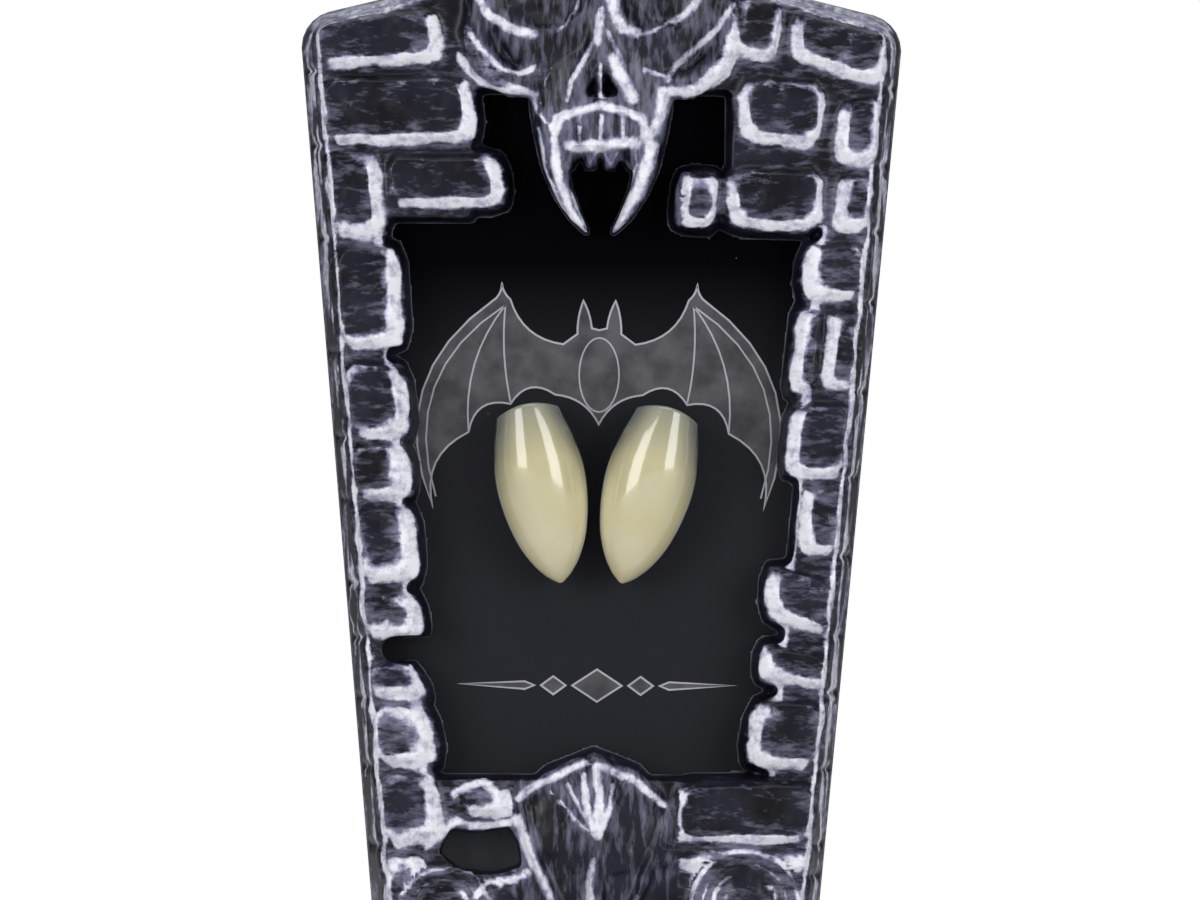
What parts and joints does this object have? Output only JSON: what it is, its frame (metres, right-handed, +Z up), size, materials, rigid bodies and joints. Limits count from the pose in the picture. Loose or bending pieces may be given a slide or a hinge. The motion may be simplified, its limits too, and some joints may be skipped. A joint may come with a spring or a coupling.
{
  "type": "pair of vampire fang caps in a coffin display box",
  "caption": "Coffin-shaped display box with a raised stone border and skull, holding a pair of hollow vampire fang caps on a black card.",
  "frame": {"origin": "bottom centre of the box, on the surface it stands on", "axes": "+X to the right as seen from the front, +Y towards the back of the box, +Z up; the front faces -Y"},
  "size_m": [0.0632, 0.0218, 0.1321],
  "materials": {
    "tray_sheet": "black formed plastic sheet, semi-gloss",
    "stone_sheet": "black formed plastic sheet, dry-brushed pale silver on the raised edges",
    "card_print": "smooth black card with a dark grey print",
    "fang_resin": "cream dental acrylic, slightly translucent, high gloss"
  },
  "bodies": {
    "root": {"back_tray": "tray_sheet", "stone_cover": "stone_sheet", "insert_card": "card_print", "fang_left": "fang_resin", "fang_right": "fang_resin"}
  },
  "joints": []
}
